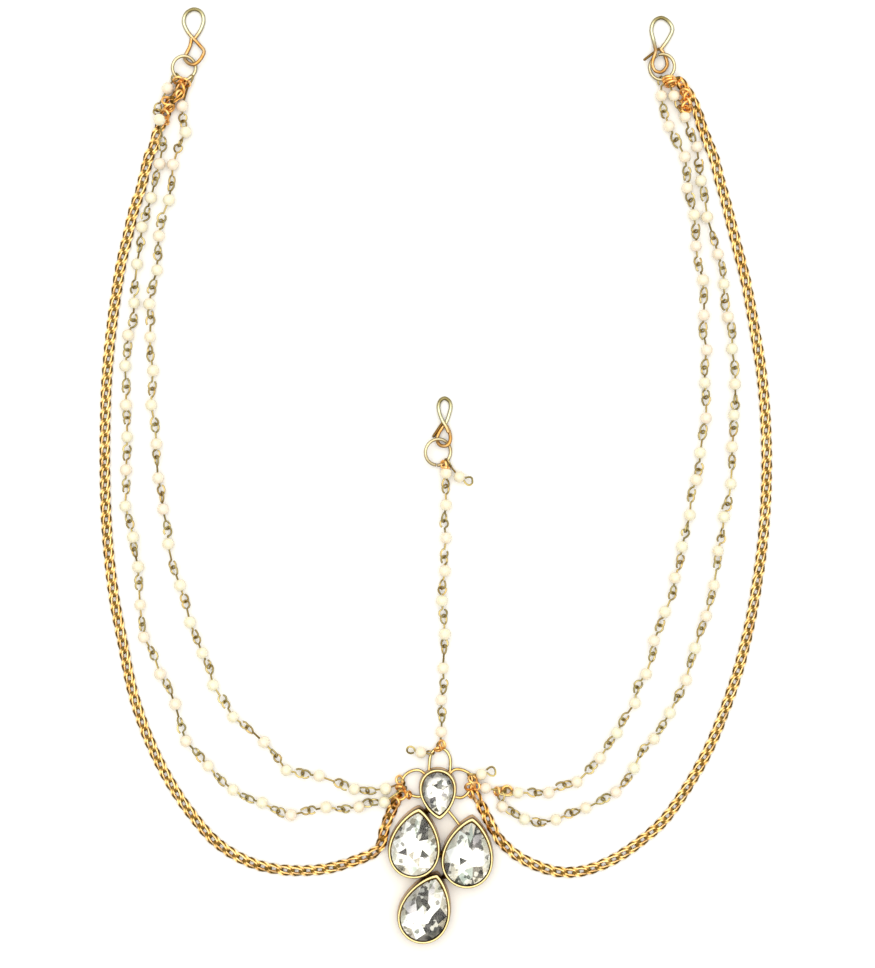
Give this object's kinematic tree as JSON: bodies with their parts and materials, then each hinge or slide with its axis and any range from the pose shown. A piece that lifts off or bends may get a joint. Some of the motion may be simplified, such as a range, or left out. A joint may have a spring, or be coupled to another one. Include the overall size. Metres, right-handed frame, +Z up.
{
  "type": "matha patti",
  "caption": "Head chain with curb chains and strings of pearls that run from hooks at the ears and the parting to a pendant of pear-shaped clear stones.",
  "frame": {"origin": "middle of the outline as the piece lies on its back, on the surface that it lies on", "axes": "+Y from the pendant towards the hooks, +X to the right as seen from the front, +Z up out of the stones' faces"},
  "size_m": [0.1819, 0.2531, 0.006],
  "materials": {
    "pale_gold": "polished, pale greenish gold plate",
    "orange_gold": "polished, warm orange gold plate",
    "bezel_gold": "polished yellow gold plate",
    "pearl": "cream pearl lustre",
    "stone": "clear, cut and polished"
  },
  "bodies": {
    "root": {"left_hook": "pale_gold", "left_ring": "pale_gold", "right_hook": "pale_gold", "right_ring": "pale_gold", "centre_hook": "pale_gold", "centre_ring": "pale_gold", "left_curb_chain": "orange_gold", "right_curb_chain": "orange_gold", "left_outer_pearl_strand": "pearl", "left_inner_pearl_strand": "pearl", "right_inner_pearl_strand": "pearl", "right_outer_pearl_strand": "pearl", "centre_pearl_strand": "pearl", "centre_ring_tail": "pearl", "bail_tail": "pearl", "right_loop_tail": "pearl", "pendant_setting": "bezel_gold", "stone_top": "stone", "stone_left": "stone", "stone_right": "stone", "stone_bottom": "stone"}
  },
  "joints": []
}
